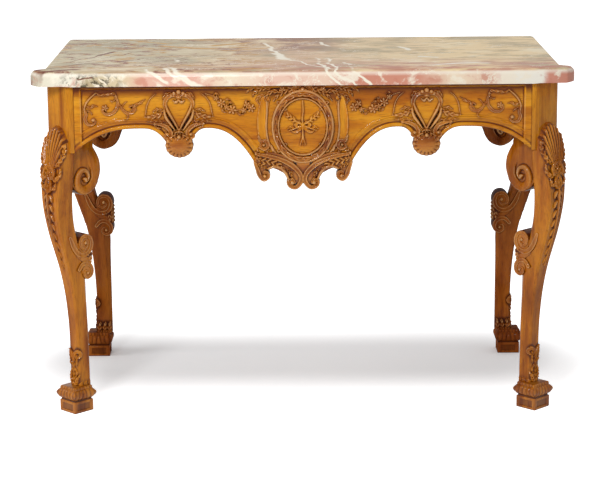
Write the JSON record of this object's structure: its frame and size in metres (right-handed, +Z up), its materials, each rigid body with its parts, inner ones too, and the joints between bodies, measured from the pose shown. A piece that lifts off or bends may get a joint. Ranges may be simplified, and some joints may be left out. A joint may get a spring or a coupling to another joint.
{
  "type": "pier table",
  "caption": "Carved walnut pier table with a shaped breccia marble slab, scalloped aprons with shells and an oval cartouche, and cabriole legs with volute brackets.",
  "frame": {"origin": "on the floor under the middle of the table's bounding box", "axes": "+X to the right along the length, -Y to the front, +Z up"},
  "size_m": [1.34, 0.655, 0.88],
  "materials": {
    "marble": "polished breccia marble",
    "walnut": "glossy varnished golden walnut",
    "carved_walnut": "carved and varnished walnut, dark in the hollows",
    "secondary_oak": "unpolished oak",
    "iron": "dull iron"
  },
  "bodies": {
    "root": {"back_rail": "secondary_oak", "block_screws": "iron", "bracket_back_left": "walnut", "bracket_back_right": "walnut", "bracket_front_left": "walnut", "bracket_front_right": "walnut", "cartouche_field": "walnut", "cartouche_straps": "carved_walnut", "cartouche_wreath": "carved_walnut", "corner_block_back_left": "secondary_oak", "corner_block_back_right": "secondary_oak", "corner_block_front_left": "secondary_oak", "corner_block_front_right": "secondary_oak", "corner_spray_left": "carved_walnut", "corner_spray_right": "carved_walnut", "cross_bearer_left": "secondary_oak", "cross_bearer_right": "secondary_oak", "flower_garland_left": "carved_walnut", "flower_garland_right": "carved_walnut", "foot_back_left": "walnut", "foot_back_right": "walnut", "foot_dowels": "secondary_oak", "foot_front_left": "walnut", "foot_front_right": "walnut", "front_rail": "walnut", "leg_back_left": "walnut", "leg_back_right": "walnut", "leg_front_left": "walnut", "leg_front_right": "walnut", "marble_top": "marble", "pendant_scrolls": "carved_walnut", "shell_pendant_left": "carved_walnut", "shell_pendant_right": "carved_walnut", "shin_scroll_back_left": "walnut", "shin_scroll_back_right": "walnut", "shin_scroll_front_left": "walnut", "shin_scroll_front_right": "walnut", "side_rail_left": "walnut", "side_rail_right": "walnut", "side_shell_left": "carved_walnut", "side_shell_right": "carved_walnut", "side_sprays_left": "carved_walnut", "side_sprays_right": "carved_walnut", "side_strapwork_left": "carved_walnut", "side_strapwork_right": "carved_walnut", "strapwork_left": "carved_walnut", "strapwork_right": "carved_walnut", "tenon_pegs": "secondary_oak"}
  },
  "joints": []
}
